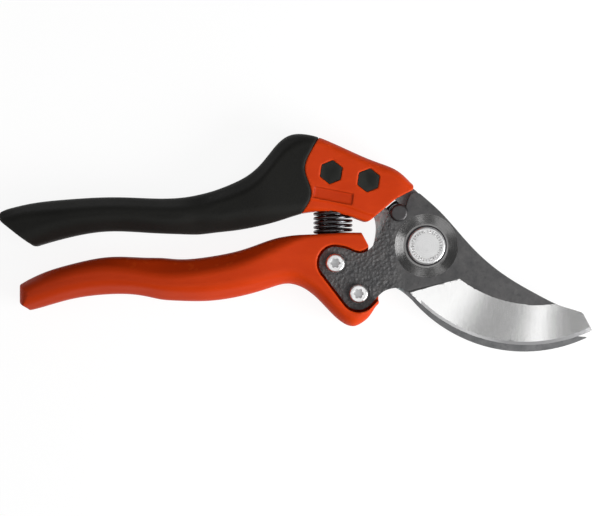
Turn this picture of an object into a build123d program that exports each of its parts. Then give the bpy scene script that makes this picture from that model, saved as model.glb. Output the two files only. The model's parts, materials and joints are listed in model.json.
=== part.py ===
from build123d import *
import math
import os

# Bypass pruning shears: two handles, a cutting blade and a hooked counter-blade on one pivot bolt.
#
# The shears lie flat. The origin is on the pivot's axis, in the plane that they rest on; +X runs towards the
# blade tips, +Y towards the upper handle and +Z out of the resting plane. All sizes are in millimetres.
#
# The upper handle, its grip and the counter-blade stay still. The lower handle and the blade turn about +Z to
# open. The lock pin slides away from the pivot, out of the blade's notch.

# ---- layers along Z, from the resting plane up
COUNTER_Z = 5.6  # back face of the counter-blade
COUNTER_T = 4.5
SHEAR_GAP = 0.05  # between the two plates
BLADE_Z = COUNTER_Z + COUNTER_T + SHEAR_GAP
BLADE_T = 3.5
BLADE_TOP = BLADE_Z + BLADE_T
TALL = 60.0  # longer than anything that it cuts
BELOW, ABOVE = -5.0, 25.0  # heights outside everything
SIDE = 200.0  # further from the pivot than anything

# ---- pivot
RUNNING = 0.05  # clearance of whatever turns on or slides past something
BOLT_R = 4.0
BUSH_R = 5.5
DISH_R = 11.9  # turned dish round the bolt head
DISH_FLOOR_R = 8.3
DISH_DEPTH = 0.85
WASHER_R = 7.6
WASHER_T = 0.6
HEAD_R = 7.05
HEAD_T = 2.6
HEAD_ROUND = 0.7
END_CHAMFER = 0.5  # at the ends of bolts and under their heads
NUT_FLATS = 13.0
NUT_CORNER = 0.9  # how far the nut's corners stand past its flats
NUT_CHAMFER = 0.8
LOCK_PLATE_R = 9.4
LOCK_PLATE_T = 1.5
LOCK_PLATE_EAR_R = 3.6
LOCK_SCREW_AT = (5.4, -9.4)
LOCK_SCREW_R = 1.6
LOCK_SCREW_HEAD_R = 2.9
LOCK_SCREW_HEAD_T = 1.7
LOCK_SCREW_END_Z = COUNTER_Z + COUNTER_T - 1.5
LOCK_SOCKET_R, LOCK_SOCKET_DEPTH = 1.4, 1.1
HOLE_PAST = 0.5  # how far a blind hole runs past its screw

# ---- the blade's screws and nuts
BLADE_SCREWS_AT = [(-34.1, -6.5), (-25.4, -17.9)]
BLADE_SCREW_R = 2.0
BLADE_SCREW_HEAD_R = 3.5
BLADE_SCREW_HEAD_T = 2.2
BLADE_SCREW_ROUND = 0.8
BLADE_SOCKET_R, BLADE_SOCKET_DEPTH = 1.9, 1.4
BLADE_SCREW_END_Z = 1.8
SPOT_R = 4.3  # shallow spot face under each head
SPOT_DEPTH = 0.35
BLADE_NUT_FLATS = 7.0
BLADE_NUT_Z = (2.2, 5.4)
LOBES = 6  # of a screw's socket

# ---- the counter-blade's bolts, nuts and the plugs over them
TANG_BOLTS_AT = [(-35.7, 27.4), (-21.8, 24.4)]
TANG_BOLT_R = 2.5
TANG_HEAD_R = 4.1
TANG_HEAD_T = 3.0
TANG_SOCKET_FLATS, TANG_SOCKET_DEPTH = 3.0, 1.8
TANG_NUT_FLATS = 7.7
TANG_NUT_Z = (11.7, 15.2)
HEX_TURN = 21.5  # degrees
CAP_SINK = 0.3  # how far a plug lies under the handle's face

# ---- spring between the handles, its axis along Y
SPRING_X = -34.9
SPRING_Z = 8.8
SPRING_R = 7.45  # outside
WIRE_R = 0.6
SPRING_Y = (1.3, 16.1)
SPRING_PITCH = 1.66
CLOSED_PITCH = 2 * WIRE_R * 1.04  # of the closed coil at each end
WIRE_FIRST = WIRE_R * 0.3  # height of the wire's centre over each ground end
SPRING_SEATS_OPEN = (10.0, 0.0)  # heights past which the lower and the upper seat are open
SPRING_POCKET_R = 7.6
SPRING_BOSS_R = 5.4
SPRING_BOSS_L = 3.0

# ---- lock
LOCK_AT = Vector(-10.25, 12.3)  # pin centre when locked
LOCK_OUT = LOCK_AT.normalized()  # the pin slides straight away from the pivot
LOCK_PER_RADIAN = 18.0  # how far it slides for each radian that the shears open
OPEN_ANGLE = 25.0  # degrees
LOCK_TRAVEL = LOCK_PER_RADIAN * math.radians(OPEN_ANGLE)
LOCK_HEAD_R = 3.3
LOCK_HEAD_T = 1.4
LOCK_HEAD_ROUND = 1.0
LOCK_HEAD_Z = BLADE_TOP + RUNNING  # underside of the pin's head, which slides over the blade's face
LOCK_SHANK_R = 2.1
LOCK_PLAY = 0.3
LOCK_RELEASED = 0.4  # radians that the shears have opened by the time the pin has left the notch
SLIDER_L, SLIDER_W = 8.8, 8.0
SLIDER_CORNER_R = 2.6
SLIDER_Z = 0.9
SLIDER_RIBS = (3.1, 3.9)  # distances of its grooves from the pin
SLIDER_GROOVE_R = 0.25
SHANK_SEAT = 2.2  # depth of the shank's seat in the slider, from below
WAVE_WASHER_R = 3.7
WAVE_WASHER_T = 0.5
LOCK_PIN_SCREW_R = 1.25
LOCK_PIN_SCREW_HEAD_R = 2.4
LOCK_PIN_SCREW_SEAT = 1.4  # depth of its seat in the slider, from below
LOCK_PIN_SCREW_END_Z = 9.5
LOCK_PIN_SOCKET_R, LOCK_PIN_SOCKET_DEPTH = 1.1, 0.9
HOLE_PLAY = 0.1  # radial play of a fixed bolt in its hole


def at(point, z=0.0):
    """A location over a point of the XY plane."""
    return Pos(point[0], point[1], z)


def rod(point, radius, z_low, z_high):
    """A cylinder along Z between two heights."""
    return at(point, z_low) * Cylinder(
        radius, z_high - z_low, align=(Align.CENTER, Align.CENTER, Align.MIN)
    )


def hexagon(point, flats, z_low, z_high, turn=0.0):
    """A hexagonal prism along Z, with its corners at turn and every 60 degrees from there."""
    sketch = RegularPolygon(flats / 2, 6, major_radius=False, rotation=turn)
    return at(point, z_low) * extrude(sketch, z_high - z_low)


def prism(outline, z_low, z_high):
    """The solid of a closed outline in the XY plane between two heights."""
    return Pos(0, 0, z_low) * extrude(make_face(outline), z_high - z_low)


def stadium(start, end, radius, z_low, z_high):
    """A slot-shaped solid along Z: everything within radius of the line from start to end."""
    start, end = Vector(*start[:2]), Vector(*end[:2])
    run = end - start
    length = run.length + 2 * radius
    angle = math.degrees(math.atan2(run.Y, run.X))
    middle = (start + end) * 0.5
    sketch = Rot(0, 0, angle) * SlotOverall(length, 2 * radius)
    return Pos(middle.X, middle.Y, z_low) * extrude(sketch, z_high - z_low)


# ---------------------------------------------------------------- handles

# Each station is x, top edge, bottom edge, width along Z and the middle of that width, then how far the top
# facets reach down and in, and how far the bottom facets reach up and in.
UPPER_STATIONS = [
    (-162.0, 12.6, -6.0, 19.0, 10.0, 4.0, 5.0, 4.0, 5.0),
    (-152.0, 15.0, -2.4, 19.4, 10.0, 4.0, 5.5, 4.0, 5.5),
    (-142.0, 16.7, 1.0, 19.7, 10.0, 4.5, 6.0, 4.5, 6.0),
    (-130.0, 17.7, 4.0, 19.8, 10.0, 4.5, 6.0, 4.5, 6.0),
    (-118.0, 18.2, 5.4, 19.8, 10.0, 4.2, 6.0, 4.2, 6.0),
    (-104.0, 17.8, 4.8, 19.8, 10.0, 4.2, 6.0, 4.2, 6.0),
    (-92.0, 18.0, 4.3, 19.8, 10.0, 4.5, 6.0, 4.5, 6.0),
    (-80.0, 20.5, 4.8, 19.8, 10.0, 5.0, 6.0, 5.0, 6.0),
    (-72.0, 23.6, 5.7, 19.8, 10.0, 5.5, 6.0, 5.0, 6.0),
    (-66.0, 27.0, 6.7, 19.7, 10.0, 6.0, 6.0, 5.0, 5.5),
    (-61.0, 31.8, 7.8, 19.6, 10.0, 6.5, 6.0, 4.6, 4.6),
    (-56.5, 37.4, 9.0, 19.3, 9.9, 6.5, 5.5, 4.0, 3.6),
    (-52.5, 40.8, 10.3, 18.9, 9.8, 5.5, 5.0, 3.2, 2.6),
    (-47.5, 41.9, 11.9, 18.5, 9.6, 3.5, 3.5, 2.2, 1.8),
    (-42.0, 41.0, 12.8, 18.1, 9.4, 2.2, 2.2, 1.2, 1.0),
    (-36.0, 38.8, 12.6, 17.6, 9.1, 2.0, 2.0, 1.0, 0.8),
    (-28.0, 35.2, 10.6, 17.3, 9.0, 2.0, 2.0, 1.0, 0.8),
    (-20.0, 31.8, 7.8, 16.6, 9.0, 2.0, 2.0, 1.2, 1.0),
    (-13.5, 29.4, 5.0, 16.2, 9.2, 2.0, 2.0, 2.0, 1.2),
    (-8.2, 25.9, 3.0, 15.8, 9.3, 2.0, 2.0, 2.0, 1.2),
    (-4.0, 22.2, 1.0, 15.4, 9.4, 2.0, 2.0, 2.0, 1.2),
]
# Top corner, end and slanting heel.
UPPER_END = [(-156.2, 14.0), (-159.6, 12.4), (-159.6, 9.6), (-146.2, -0.8)]
END_ROUND = 1.5
HEAD_NOSE = (-4.9, 21.0)
HEAD_WAIST = (-11.4, 17.6)  # the head's edge beside the blade bends here
HEAD_LIP = (-22.1, 8.6)
HEAD_UNDER = (-31.5, 12.1)
LIP_ROUND = 3.0

LOWER_STATIONS = [
    (-154.0, -14.6, -25.4, 19.0, 10.0, 3.0, 4.2, 3.0, 4.2),
    (-146.0, -11.3, -23.6, 19.4, 10.0, 3.0, 4.5, 3.5, 5.0),
    (-137.0, -8.0, -21.0, 19.6, 10.0, 3.0, 4.5, 4.0, 5.5),
    (-128.0, -5.7, -19.1, 19.8, 10.0, 3.2, 4.8, 4.2, 6.0),
    (-116.0, -4.1, -18.1, 19.8, 10.0, 4.6, 5.4, 4.2, 6.0),
    (-104.0, -4.5, -19.2, 19.8, 10.0, 6.2, 5.8, 4.2, 6.0),
    (-94.0, -5.0, -20.6, 19.8, 10.0, 6.3, 6.0, 4.4, 6.0),
    (-84.0, -4.5, -20.8, 19.8, 10.0, 5.8, 6.0, 4.6, 6.0),
    (-74.0, -2.8, -19.8, 19.7, 10.0, 5.4, 5.8, 4.6, 6.0),
    (-65.0, -0.2, -17.8, 19.4, 9.9, 4.9, 5.2, 4.6, 5.4),
    (-58.0, 2.3, -15.6, 18.9, 9.6, 4.2, 4.4, 4.4, 4.6),
    (-52.0, 3.6, -14.2, 18.3, 9.3, 2.8, 2.8, 4.0, 4.0),
    (-46.5, 4.1, -15.6, 17.8, 9.1, 1.4, 1.4, 4.0, 3.6),
    (-41.0, 4.3, -19.6, 17.7, 9.0, 0.9, 0.9, 4.0, 3.2),
    (-36.0, 4.6, -24.8, 17.7, 9.0, 0.8, 0.8, 4.5, 3.0),
    (-32.0, 4.8, -28.4, 17.7, 9.0, 0.8, 0.8, 4.0, 3.0),
    (-28.8, 4.9, -30.0, 17.6, 9.0, 0.8, 0.8, 3.0, 2.8),
    (-26.4, 4.9, -30.0, 17.5, 9.0, 0.9, 0.9, 2.8, 2.6),
    (-24.4, 4.9, -29.0, 17.4, 9.0, 1.0, 1.0, 2.8, 2.4),
    (-22.4, 4.9, -27.5, 17.3, 9.0, 1.0, 1.0, 2.8, 2.2),
    (-20.4, 4.9, -25.0, 17.1, 9.0, 1.0, 1.0, 2.6, 2.0),
    (-18.6, 4.9, -22.4, 17.0, 9.0, 1.0, 1.0, 2.6, 2.0),
    (-17.0, 4.9, -20.0, 16.8, 9.0, 1.0, 1.0, 2.6, 2.0),
]
LOWER_END_ROUND = 1.2
LOWER_END = [(-148.6, -12.6), (-151.9, -14.6), (-151.9, -21.4), (-148.4, -23.9)]
LOWER_CORNER = (-21.5, -0.5)  # nearest the pivot
LOWER_LIP = (-24.2, 4.6)
LOWER_SIDE = [(-17.8, -18.6), (-19.6, -13.5), (-21.4, -7.0)]  # hidden side, clear of the counter-blade

# The curved joint between the soft grip and the hard head, from the top edge down.
GRIP_EDGE = [(-38.2, 44.0), (-42.6, 36.3), (-45.5, 28.2), (-43.1, 19.6), (-46.2, 12.8), (-49.5, 8.0)]
GRIP_OVER = (-42.0, TALL)  # above its top end
# Top and bottom of the handle's core inside the grip, from the head to the end.
CORE_TOP = [(-40, 33), (-50, 34), (-60, 26), (-72, 19.2), (-92, 14.2), (-118, 14.4), (-148, 11.6)]
CORE_BOTTOM = [(-40, 17), (-50, 15), (-60, 12), (-72, 9.6), (-92, 8.2), (-118, 9.2), (-148, 6.4)]
CORE_END = (-150.6, 9.0)
CORE_T = 12.0
CORE_Z = 10.0  # middle of its thickness

PANEL = [(-41.9, 22.1), (-27.3, 19.3), (-27.8, 15.0), (-42.4, 17.9)]
PANEL_DEPTH = 0.5
# The styling step along the head's lower edge.
SWAGE = [(-46.5, 17.2), (-43.4, 17.2), (-37.0, 16.3), (-31.1, 15.0), (-25.5, 13.1), (-19.0, 10.8)]
SWAGE_DEPTH = 0.7
FACE_FROM_Z = 12.0  # what is sunk into the front face starts above this

HANDLE_Z = (0.2, 19.8)
CORNER_R = 5.0  # largest rounding of a handle's corners
CORNER_SHARE = 0.46  # of a side that a corner's rounding may take
CAP_ROUND = 4.5  # rounding of a handle's end, seen from above or below


def handle_section(station):
    """A cross-section of a handle: eight rounded corners, the same in front and behind."""
    x, top, bottom, width, mid_z, top_down, top_in, bottom_up, bottom_in = station
    half = width / 2
    corners = [
        (top, half - top_in),
        (top - top_down, half),
        (bottom + bottom_up, half),
        (bottom, half - bottom_in),
    ]
    corners += [(y, -z) for y, z in reversed(corners)]
    plane = Plane(origin=(x, 0, mid_z), x_dir=(0, 1, 0), z_dir=(1, 0, 0))
    radii = []
    for before, here, after in zip(corners[-1:] + corners, corners, corners[1:] + corners[:1]):
        come = Vector(*here) - Vector(*before)
        leave = Vector(*after) - Vector(*here)
        turn = math.radians(come.get_angle(leave))
        radii.append(min(CORNER_R, CORNER_SHARE * min(come.length, leave.length) / math.tan(turn / 2)))
    return plane * make_face(FilletPolyline(*corners, radius=radii, close=True))


def end_cap(x_end):
    """Everything right of a handle's end, with the end rounded towards its front and back."""
    plane = Plane(origin=(0, TALL, 0), x_dir=(1, 0, 0), z_dir=(0, -1, 0))
    low, high = HANDLE_Z
    width = TALL * 5
    sketch = Pos(x_end + width / 2, (low + high) / 2) * RectangleRounded(width, high - low, CAP_ROUND)
    return plane * extrude(sketch, 2 * TALL)


def upper_envelope():
    """The upper handle's whole outside: grip and head together."""
    corners = [
        *UPPER_END,
        (UPPER_END[-1][0], -TALL),
        (HEAD_UNDER[0], -TALL),
        HEAD_UNDER,
        HEAD_LIP,
        HEAD_WAIST,
        HEAD_NOSE,
        (HEAD_NOSE[0], TALL),
        (UPPER_END[0][0], TALL),
    ]
    rounds = [LIP_ROUND if corner == HEAD_LIP else END_ROUND for corner in corners]
    edge = FilletPolyline(*corners, radius=rounds, close=True)
    solid = loft([handle_section(s) for s in UPPER_STATIONS])
    return solid & prism(edge, BELOW, ABOVE) & end_cap(UPPER_END[1][0])


def lower_envelope():
    """The lower handle's whole outside."""
    low_x, low_y = LOWER_SIDE[0]
    over, under = (LOWER_END[0][0], TALL), (LOWER_END[-1][0], -TALL)
    outline = [
        Spline(*LOWER_SIDE, LOWER_CORNER),
        Polyline(LOWER_CORNER, LOWER_LIP, (LOWER_LIP[0], TALL), over),
        FilletPolyline(over, *LOWER_END, under, radius=LOWER_END_ROUND),
        Polyline(under, (low_x, -TALL), (low_x, low_y)),
    ]
    solid = loft([handle_section(s) for s in LOWER_STATIONS])
    return solid & prism(outline, BELOW, ABOVE) & end_cap(LOWER_END[1][0])


# ---------------------------------------------------------------- blades

# The cutting edge and the top of its ground bevel are arcs about these points.
EDGE_ARC, EDGE_ARC_R = Vector(37.8, 21.2), 58.5
BEVEL_ARC, BEVEL_ARC_R = Vector(41.8, 27.0), 49.2
BEVEL_ANGLES = (190.0, 291.7)  # degrees round its own centre, towards the handles and past the tip
EDGE_ANGLES = (190.0, 299.0)
BEVEL_START = Vector(-6.9, -16.9)  # the ground bevel's shoulder runs from here
BEVEL_HEEL = Vector(12.2, -12.4)  # to here, where it meets the bevel's arc
SHOULDER_LEAN = 16.0  # degrees
GRIND_PAST = 3.0  # the bevel's slope is drawn on this far past the edge
GRIND_BELOW = 0.2  # and is then this far under the blade's back
EDGE_BEVEL_W = 1.3  # narrow second bevel along the cutting edge
EDGE_BEVEL_DROP = 0.64
EDGE_LAND = 0.05  # thickness left at the edge itself
EDGE_START_X = -1.8
SPINE = [(-2.3, 19.4), (5.2, 12.7), (12.7, 4.3), (20.2, -3.7), (31.5, -12.5), (42.7, -18.9), (50.0, -22.4)]
SPINE_END = (57.4, -24.7)
TIP_CORNER = [(58.5, -25.2), (59.2, -26.1)]
TIP_X = 62.5
HOOK_ARC, HOOK_ARC_R = Vector(37.0, 15.5), 55.3


def on_arc(centre, radius, x=None, angle=None):
    """The point of an arc's lower half at x, or at an angle in degrees."""
    if angle is None:
        return (x, centre.Y - math.sqrt(radius**2 - (x - centre.X) ** 2))
    turn = math.radians(angle)
    return (centre.X + radius * math.cos(turn), centre.Y + radius * math.sin(turn))


def arc_between(centre, radius, x_from, x_to):
    """The lower arc of a circle from one x to another."""
    points = [on_arc(centre, radius, x) for x in (x_from, (x_from + x_to) / 2, x_to)]
    return ThreePointArc(*points)


# Blade outline, from the tip round by the cutting edge, the neck and the lug, and back along the spine.
BLADE_HEEL_X = -3.6
NECK = [(-15.4, -16.8), (-11.2, -15.8)]
LUG_R = 6.1  # round each of the lug's screws
LUG_ENDS = (-45.0, 95.0)  # degrees round its lower and its upper screw, where the round sides end
LUG_CORNER = 155.0  # on the way there
LUG_GAP = 0.9  # between the lug and the wall of its pocket
LUG_POCKET_TOP = [(-29.6, -0.5), (-25.0, -2.0), (-20.6, 0.6)]
LUG_TOP = [(-29.5, -1.3), (-24.6, -2.8), (-21.4, -1.4), (-18.6, 1.9), (-16.8, 5.4), (-14.8, 10.4)]
BLADE_CROWN = [(-12.6, 13.8), (-8.2, 17.2)]

# Counter-blade outline: the edge beside the handles, the tang inside the head, and the hidden inner side.
COUNTER_NECK = [(-9.8, -16.6), (-14.5, -14.0), (-18.2, -9.0)]
COUNTER_LEFT = [(-20.2, -3.2), (-19.3, 1.7), (-18.7, 6.0), (-19.6, 11.3)]
TANG_LOW = [(-22.6, 14.9), (-28.0, 18.4), (-36.0, 20.9)]
TANG_END = (-42.4, 27.6)
TANG_HIGH = [(-37.2, 32.4), (-21.5, 30.4), (-12.0, 26.0), (-6.8, 22.4)]
COUNTER_CROWN = (-4.8, 21.5)
HUB_SIDE = [(-2.3, 19.2), (3.6, 13.4), (9.6, 6.6), (13.6, 0.2), (14.0, -7.0), (11.0, -14.0), (10.2, -19.6)]
HOOK_INSIDE = [(16.0, -26.6), (24.0, -30.4), (34.0, -32.6), (44.0, -33.3), (53.0, -33.8), (60.1, -34.4)]
HOOK_TIP = (60.4, -34.55)
HOOK_TIP_X = 60.2
HOOK_ROOT_X = -5.0


def lug_side(reach):
    """The lug's side at one distance round its screws: its right and top ends, and the lines between."""
    (x1, y1), (x2, y2) = BLADE_SCREWS_AT
    side = math.degrees(math.atan2(y2 - y1, x2 - x1)) - 90  # the slanting straight side faces this way
    first, second = Vector(x1, y1), Vector(x2, y2)
    right = on_arc(second, reach, angle=LUG_ENDS[0])
    below = on_arc(second, reach, angle=(side + LUG_ENDS[0]) / 2 + LUG_ENDS[0])
    low = on_arc(second, reach, angle=side)
    left = on_arc(first, reach, angle=side)
    corner = on_arc(first, reach, angle=LUG_CORNER)
    top = on_arc(first, reach, angle=LUG_ENDS[1])
    return right, top, [ThreePointArc(right, below, low), Line(low, left), ThreePointArc(left, corner, top)]


def blade_outline():
    """The blade's closed outline, without its notch."""
    lug_right, lug_top, lug_lines = lug_side(LUG_R)
    tip = on_arc(EDGE_ARC, EDGE_ARC_R, TIP_X)
    heel = on_arc(EDGE_ARC, EDGE_ARC_R, BLADE_HEEL_X)
    neck = (BEVEL_START.X, BEVEL_START.Y)
    return [
        arc_between(EDGE_ARC, EDGE_ARC_R, tip[0], heel[0]),
        Line(heel, neck),
        Spline(neck, *reversed(NECK), lug_right, tangents=[(-1, 0.5), (-1, -1)]),
        *lug_lines,
        Spline(lug_top, *LUG_TOP, *BLADE_CROWN, SPINE[0], tangents=[(1, -0.1), (1, -0.5)]),
        Spline(*SPINE, SPINE_END, tangents=[(1, -0.85), (1, -0.35)]),
        ThreePointArc(SPINE_END, *TIP_CORNER),
        Line(TIP_CORNER[-1], tip),
    ]


def sector(centre, radius, angles, far):
    """The closed region outside an arc of a circle, out to a distance below and to the right."""
    start, end = [on_arc(centre, radius, angle=angle) for angle in angles]
    middle = on_arc(centre, radius, angle=sum(angles) / 2)
    return [
        ThreePointArc(start, middle, end),
        Polyline(end, (far, end[1]), (far, -far), (start[0], -far), start),
    ]


def bevel_cutter():
    """What grinding takes off the blade's face: a cone-like slope down to the edge, and its shoulder."""
    far = 82.0  # past the blade's tip
    low = make_face(sector(EDGE_ARC, EDGE_ARC_R + GRIND_PAST, EDGE_ANGLES, far))
    high = make_face(sector(BEVEL_ARC, BEVEL_ARC_R, BEVEL_ANGLES, far))
    high_face = Pos(0, 0, BLADE_TOP) * high
    slope = loft([Pos(0, 0, BLADE_Z - GRIND_BELOW) * low, high_face], ruled=True) + extrude(high_face, 1)
    along = (BEVEL_HEEL - BEVEL_START).normalized()
    across = Vector(along.Y, -along.X)  # from the shoulder towards the ground face
    start = BEVEL_START - along * far
    end = BEVEL_START + along * far
    corners = [start, end, end + across * far, start + across * far]
    region = make_face(Polyline(*[(c.X, c.Y) for c in corners], close=True))
    lean = Vector(0, 0, -1) + across * math.tan(math.radians(SHOULDER_LEAN))
    shoulder = Pos(0, 0, BLADE_TOP) * extrude(region, BLADE_T + 1, dir=lean)
    return slope & (shoulder + Pos(0, 0, BLADE_TOP) * extrude(region, 1))


def edge_cutter():
    """What sharpening takes off: a narrow cone along the cutting edge, except at the heel."""
    axis = Pos(EDGE_ARC.X, EDGE_ARC.Y, BLADE_Z)
    slope = EDGE_BEVEL_DROP / EDGE_BEVEL_W
    reach = 4.0  # how far the cutter runs past the edge
    profile = Polyline(
        (EDGE_ARC_R + reach, EDGE_LAND - reach * slope),
        (EDGE_ARC_R - reach, EDGE_LAND + reach * slope),
        (EDGE_ARC_R + reach, BLADE_T),
        close=True,
    )
    ring = axis * revolve(Plane.XZ * make_face(profile), Axis.Z)
    top, bottom, right = -18.0, -TALL, 80.0
    corners = [(EDGE_START_X, top), (EDGE_START_X, bottom), (right, bottom), (right, top)]
    sharpened = Polyline(*corners, close=True)
    return ring & prism(sharpened, 0, TALL)


def turned(point, angle):
    """A point of the XY plane turned about the pivot by an angle in radians."""
    c, s = math.cos(angle), math.sin(angle)
    return Vector(point.X * c - point.Y * s, point.X * s + point.Y * c)


def notch_cutter():
    """The path of the lock pin's shank in the blade's own frame while the shears open, with play."""
    steps = 7
    path = []
    for i in range(steps):
        angle = LOCK_RELEASED * i / (steps - 1)
        path.append(turned(LOCK_AT + LOCK_OUT * (LOCK_PER_RADIAN * angle), -angle))
    cutter = None
    for start, end in zip(path, path[1:]):
        piece = stadium((start.X, start.Y), (end.X, end.Y), LOCK_SHANK_R + LOCK_PLAY, BLADE_Z - 1, TALL)
        cutter = piece if cutter is None else cutter + piece
    return cutter


def lock_slot(radius, z_low, z_high):
    """A slot along which the lock pin slides."""
    end = LOCK_AT + LOCK_OUT * LOCK_TRAVEL
    return stadium((LOCK_AT.X, LOCK_AT.Y), (end.X, end.Y), radius, z_low, z_high)


def make_blade():
    blade = prism(blade_outline(), BLADE_Z, BLADE_TOP)
    dish = Polyline(
        (0, BLADE_TOP - DISH_DEPTH),
        (DISH_FLOOR_R, BLADE_TOP - DISH_DEPTH),
        (DISH_R, BLADE_TOP),
        (DISH_R, BLADE_TOP + 1),
        (0, BLADE_TOP + 1),
        close=True,
    )
    blade -= revolve(Plane.XZ * make_face(dish), Axis.Z)
    blade -= rod((0, 0), BUSH_R, 0, TALL)
    for point in BLADE_SCREWS_AT:
        blade -= rod(point, BLADE_SCREW_R + HOLE_PLAY, 0, TALL)
        blade -= rod(point, SPOT_R, BLADE_TOP - SPOT_DEPTH, TALL)
    return blade - notch_cutter() - bevel_cutter() - edge_cutter()


def counter_outline():
    """The counter-blade's closed outline: hook, edge beside the handles, tang and hidden inner side."""
    root = on_arc(HOOK_ARC, HOOK_ARC_R, HOOK_ROOT_X)
    tip = on_arc(HOOK_ARC, HOOK_ARC_R, HOOK_TIP_X)
    return [
        arc_between(HOOK_ARC, HOOK_ARC_R, HOOK_TIP_X, HOOK_ROOT_X),
        Spline(root, *COUNTER_NECK, *COUNTER_LEFT, *TANG_LOW, tangents=[(-0.75, 0.68), (-1, 0.2)]),
        ThreePointArc(TANG_LOW[-1], TANG_END, TANG_HIGH[0]),
        Spline(*TANG_HIGH, COUNTER_CROWN, *HUB_SIDE, *HOOK_INSIDE, tangents=[(1, 0), (1, -0.1)]),
        ThreePointArc(HOOK_INSIDE[-1], HOOK_TIP, tip),
    ]


def make_counter_blade():
    plate = prism(counter_outline(), COUNTER_Z, COUNTER_Z + COUNTER_T)
    plate -= rod((0, 0), BOLT_R, 0, TALL)
    for point in TANG_BOLTS_AT:
        plate -= rod(point, TANG_BOLT_R + HOLE_PLAY, 0, TALL)
    plate -= lock_slot(LOCK_SHANK_R + LOCK_PLAY, 0, TALL)
    return plate - rod(LOCK_SCREW_AT, LOCK_SCREW_R, 0, LOCK_SCREW_END_Z + HOLE_PAST)


# ---------------------------------------------------------------- the fixed side


def left_of_grip_edge(solid):
    """The part of a solid that the soft grip covers."""
    edge = [
        Spline(*GRIP_EDGE),
        Polyline(GRIP_EDGE[-1], (GRIP_EDGE[-1][0], -TALL), (-SIDE, -TALL)),
        Polyline((-SIDE, -TALL), (-SIDE, TALL), GRIP_OVER, GRIP_EDGE[0]),
    ]
    return solid & prism(edge, BELOW, ABOVE)


def handle_core():
    """The hard bar inside the soft grip."""
    outline = [
        Spline(*CORE_TOP),
        ThreePointArc(CORE_TOP[-1], CORE_END, CORE_BOTTOM[-1]),
        Spline(*CORE_BOTTOM),
        Line(CORE_BOTTOM[0], CORE_TOP[0]),
    ]
    return prism(outline, CORE_Z - CORE_T / 2, CORE_Z + CORE_T / 2)


def spring_seat(y_open, y_floor):
    """The round pocket that takes one end of the spring, less the boss inside the coil."""
    depth = y_floor - y_open
    away = 1 if depth > 0 else -1
    plane = Plane(origin=(SPRING_X, y_open, SPRING_Z), z_dir=(0, away, 0))
    pocket = plane * Cylinder(SPRING_POCKET_R, abs(depth), align=(Align.CENTER, Align.CENTER, Align.MIN))
    base = Plane(origin=(SPRING_X, y_floor, SPRING_Z), z_dir=(0, -away, 0))
    boss = base * Cylinder(SPRING_BOSS_R, SPRING_BOSS_L, align=(Align.CENTER, Align.CENTER, Align.MIN))
    return pocket - boss


def make_upper_handle(envelope, core):
    """The hard head and core of the upper handle, with the pockets for everything that it holds."""
    head = envelope - left_of_grip_edge(envelope)
    panel = prism(Polyline(*PANEL, close=True), FACE_FROM_Z, TALL)
    head -= panel - Pos(0, 0, -PANEL_DEPTH) * envelope
    swage = [Spline(*SWAGE), Polyline(SWAGE[-1], (SWAGE[-1][0], 0), (SWAGE[0][0], 0), SWAGE[0])]
    head -= prism(swage, FACE_FROM_Z, TALL) - Pos(0, 0, -SWAGE_DEPTH) * envelope
    frame = head + core
    frame -= prism(counter_outline(), BELOW, COUNTER_Z + COUNTER_T)
    frame -= lock_slot(LOCK_HEAD_R + LOCK_PLAY, COUNTER_Z, LOCK_HEAD_Z + LOCK_HEAD_T + LOCK_PLAY)
    for point in TANG_BOLTS_AT:
        frame -= rod(point, TANG_BOLT_R + HOLE_PLAY, 0, TALL)
        frame -= hexagon(point, TANG_NUT_FLATS + 2 * HOLE_PLAY, TANG_NUT_Z[0], TALL, HEX_TURN)
    return frame - spring_seat(SPRING_SEATS_OPEN[1], SPRING_Y[1])


def make_tang_bolt(point):
    """A low-headed bolt from behind through the counter-blade's tang."""
    z = COUNTER_Z - TANG_HEAD_T
    bolt = rod(point, TANG_HEAD_R, z, COUNTER_Z) + rod(point, TANG_BOLT_R, COUNTER_Z, TANG_NUT_Z[1])
    bolt = chamfer(bolt.edges().sort_by(Axis.Z)[0], END_CHAMFER)
    return bolt - hexagon(point, TANG_SOCKET_FLATS, z, z + TANG_SOCKET_DEPTH)


def make_tang_nut(point):
    nut = hexagon(point, TANG_NUT_FLATS, *TANG_NUT_Z, HEX_TURN)
    return nut - rod(point, TANG_BOLT_R, 0, TALL)


def make_hex_cap(point, envelope):
    """The plug over a nut, its face following the handle's."""
    plug = hexagon(point, TANG_NUT_FLATS + HOLE_PLAY, TANG_NUT_Z[1] + HOLE_PLAY, TALL, HEX_TURN)
    return plug & (Pos(0, 0, -CAP_SINK) * envelope)


# ---------------------------------------------------------------- pivot


def make_pivot_bolt():
    z = BLADE_TOP - DISH_DEPTH + WASHER_T + RUNNING
    head = rod((0, 0), HEAD_R, z, z + HEAD_T)
    head = fillet(head.edges().sort_by(Axis.Z)[-1], HEAD_ROUND)
    bolt = head + rod((0, 0), BOLT_R, 0, z)
    return chamfer(bolt.edges().sort_by(Axis.Z)[0], END_CHAMFER)


def make_pivot_nut():
    nut = hexagon((0, 0), NUT_FLATS, 0, COUNTER_Z, HEX_TURN)
    corner = rod((0, 0), NUT_FLATS / 2 + NUT_CORNER, 0, COUNTER_Z)
    nut = nut & chamfer(corner.edges().sort_by(Axis.Z)[0], NUT_CHAMFER)
    return nut - rod((0, 0), BOLT_R, BELOW, TALL)


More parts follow.
